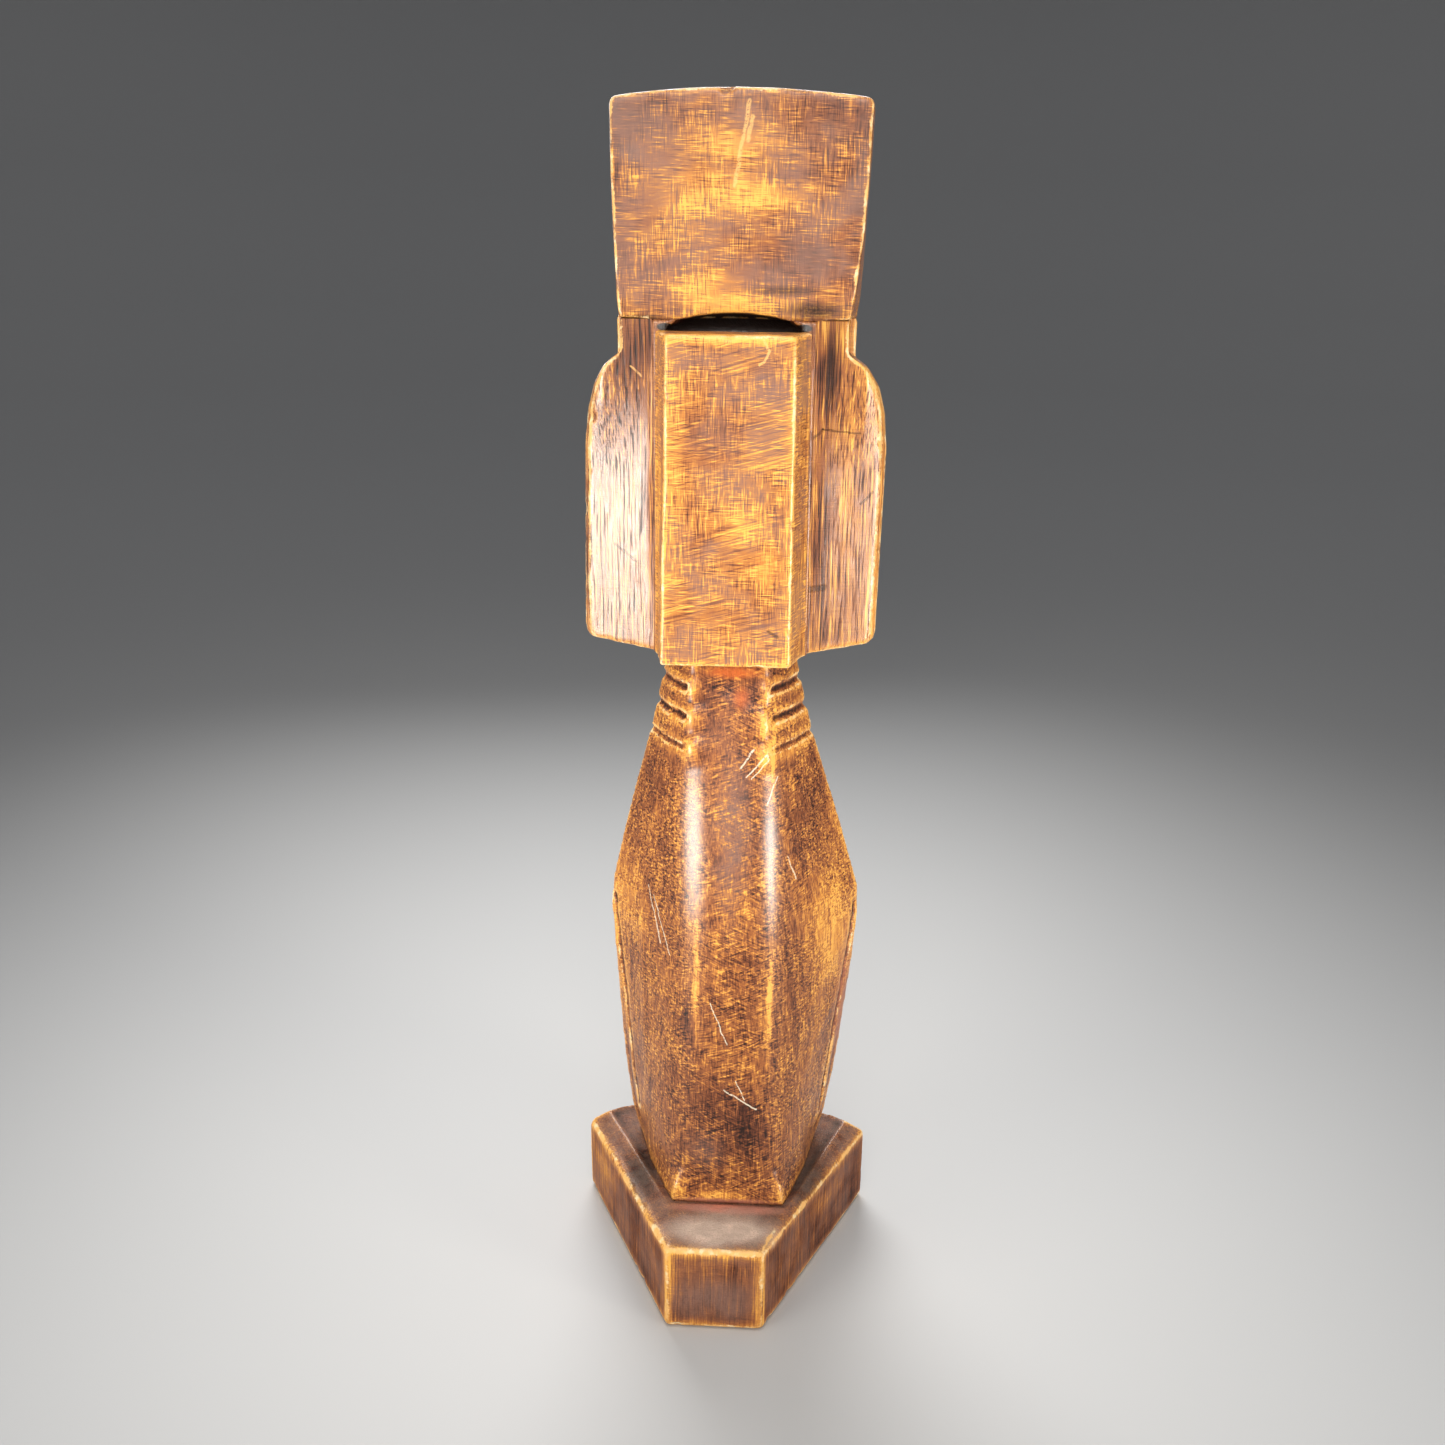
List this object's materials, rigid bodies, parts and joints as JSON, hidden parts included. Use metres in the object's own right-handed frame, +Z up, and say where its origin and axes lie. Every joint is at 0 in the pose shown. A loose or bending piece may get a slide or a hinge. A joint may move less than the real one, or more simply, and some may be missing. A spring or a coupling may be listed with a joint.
{
  "type": "carved wooden tiki figure",
  "caption": "Standing carved tiki figure with a tall flared crown, side flaps, a hair slab down the back, a ringed neck and a faceted body on a wedge-shaped plinth.",
  "frame": {"origin": "on the floor, in the middle of the plinth's plan", "axes": "+Z up; the figure faces -Y, so its carved back is on +Y; its own left hand is on +X"},
  "size_m": [0.102, 0.0882, 0.38],
  "materials": {
    "plinth_wood": "dark stained and waxed, worn to golden wood along its edges, satin",
    "body_wood": "reddish brown stain with golden worn patches, fine tool marks, satin to glossy",
    "head_wood": "reddish brown stain with vertical grain, satin",
    "crown_wood": "brown stain worn to orange in the middle, cross-hatched sanding scratches, satin",
    "slab_wood": "brown stain with orange patches and cross-hatched scratches, worn bright edges, satin",
    "flap_wood": "brown stain with vertical grain lines and worn bright edges, satin",
    "dowel_wood": "raw hardwood dowel, matt"
  },
  "bodies": {
    "root": {"plinth": "plinth_wood", "body": "body_wood", "head": "head_wood", "crown": "crown_wood", "hair_slab": "slab_wood", "side_flap_left": "flap_wood", "side_flap_right": "flap_wood", "foot_dowel_left": "dowel_wood", "foot_dowel_right": "dowel_wood", "crown_dowel_left": "dowel_wood", "crown_dowel_right": "dowel_wood", "neck_dowel": "dowel_wood", "slab_peg_lower": "dowel_wood", "slab_peg_upper": "dowel_wood"}
  },
  "joints": []
}
